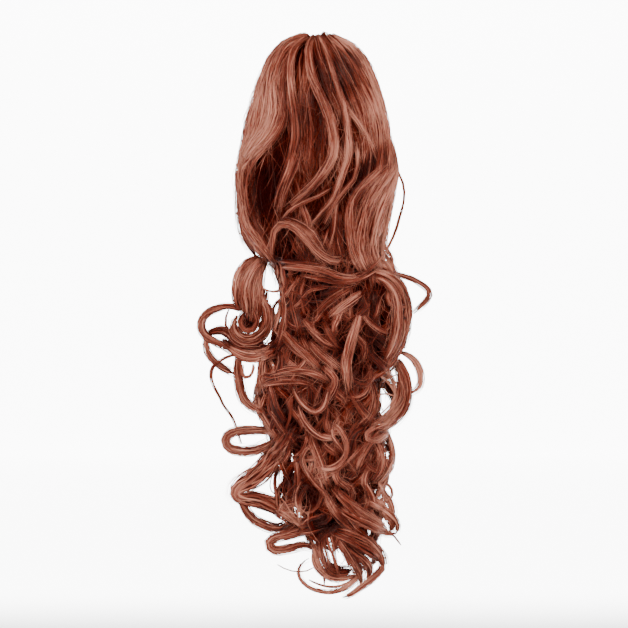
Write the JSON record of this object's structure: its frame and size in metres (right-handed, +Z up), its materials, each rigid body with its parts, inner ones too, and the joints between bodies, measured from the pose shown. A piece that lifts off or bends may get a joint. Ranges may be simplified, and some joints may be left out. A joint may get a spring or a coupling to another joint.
{
  "type": "ponytail hairpiece",
  "caption": "Long curly ponytail hairpiece, a dome of layered hair over a claw clip, falling into loose ringlets, shown hanging.",
  "frame": {"origin": "middle of the claw clip's hollow, where the wearer's own bun sits", "axes": "+Z up towards the crown, -Y towards the seen side, +Y towards the wearer's head, +X to the right as seen"},
  "size_m": [0.228, 0.1235, 0.5486],
  "materials": {
    "hair": "satin",
    "clip": "gloss"
  },
  "bodies": {
    "root": {"claw_clip": "clip", "crown_hair": "hair", "middle_hair": "hair", "lower_hair": "hair", "tip_hair": "hair", "left_ringlets": "hair", "right_ringlets": "hair", "back_ringlets": "hair"}
  },
  "joints": []
}
